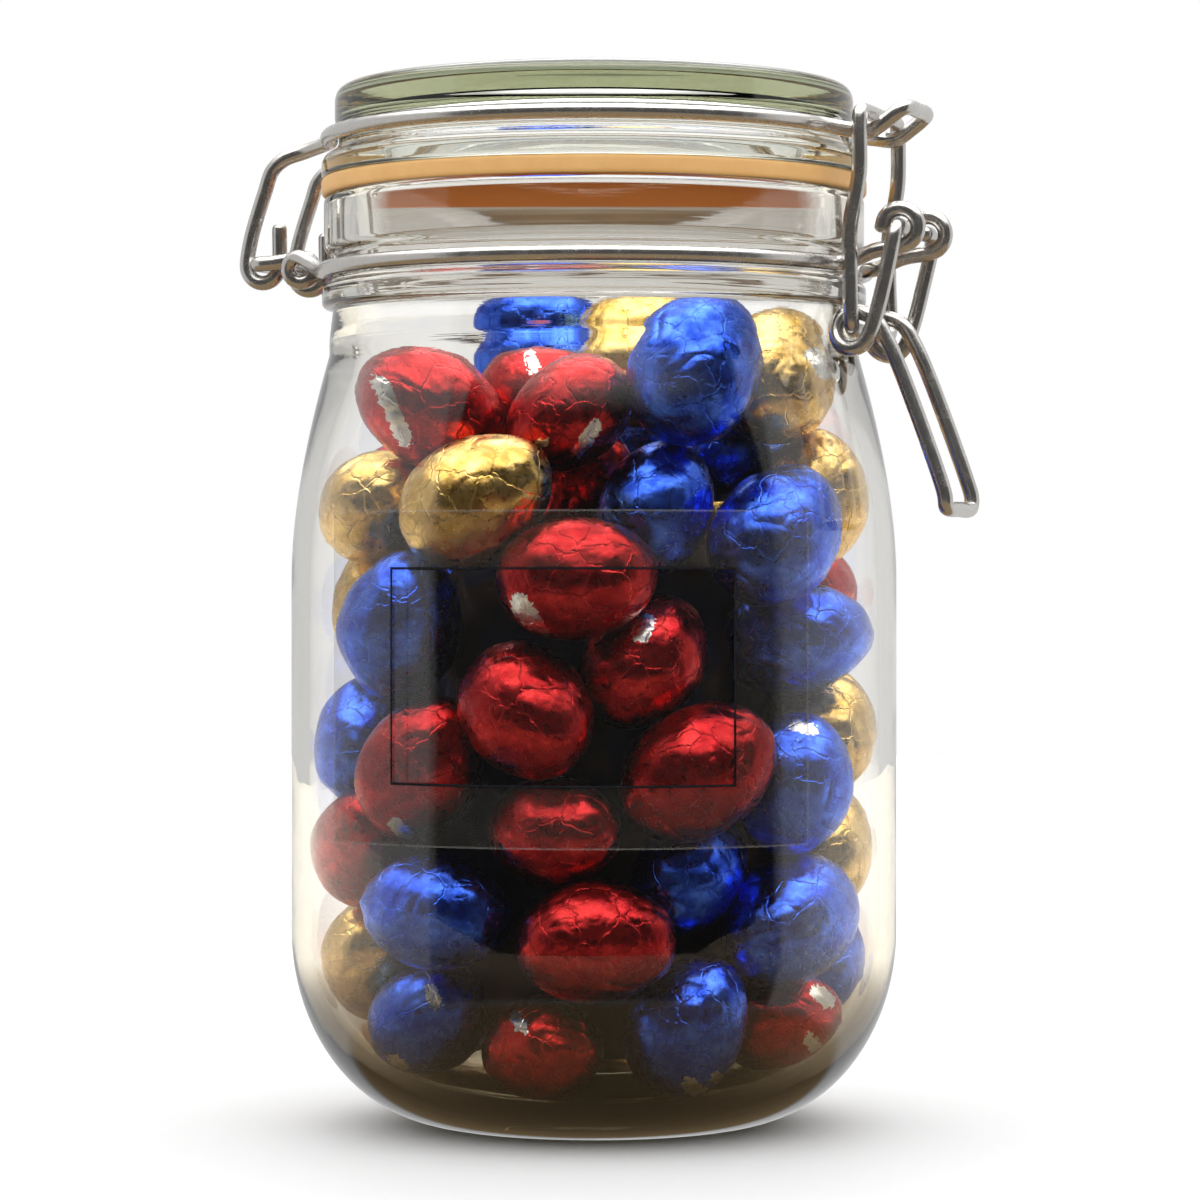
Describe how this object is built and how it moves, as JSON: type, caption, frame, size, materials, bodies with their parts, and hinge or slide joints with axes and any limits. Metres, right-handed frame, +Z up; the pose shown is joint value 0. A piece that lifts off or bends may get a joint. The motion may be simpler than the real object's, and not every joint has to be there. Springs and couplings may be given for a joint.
{
  "type": "jar of easter egg candies",
  "caption": "Closed clip-top glass preserving jar with a rubber ring and bent-wire latch, filled with chocolate eggs in red, blue and gold foil.",
  "frame": {"origin": "centre of the flat base, which rests on z = 0", "axes": "+Z up along the jar's axis, -X towards the lid's hinge, +X towards the latch; the label's middle faces 13.4 degrees from -Y towards +X"},
  "size_m": [0.1285, 0.1045, 0.1777],
  "materials": {
    "glass": "clear, faintly green, smooth",
    "rubber": "pale orange, matt",
    "foil": "crinkled coloured foil: red, blue and gold eggs",
    "steel": "bright drawn wire",
    "film": "clear film"
  },
  "bodies": {
    "root": {"jar_glass": "glass", "rubber_ring": "rubber", "lid_glass": "glass", "egg_heap": "foil", "neck_wire": "steel", "lid_wire": "steel", "link_wire": "steel", "lever_wire": "steel", "label_film": "film"}
  },
  "joints": []
}
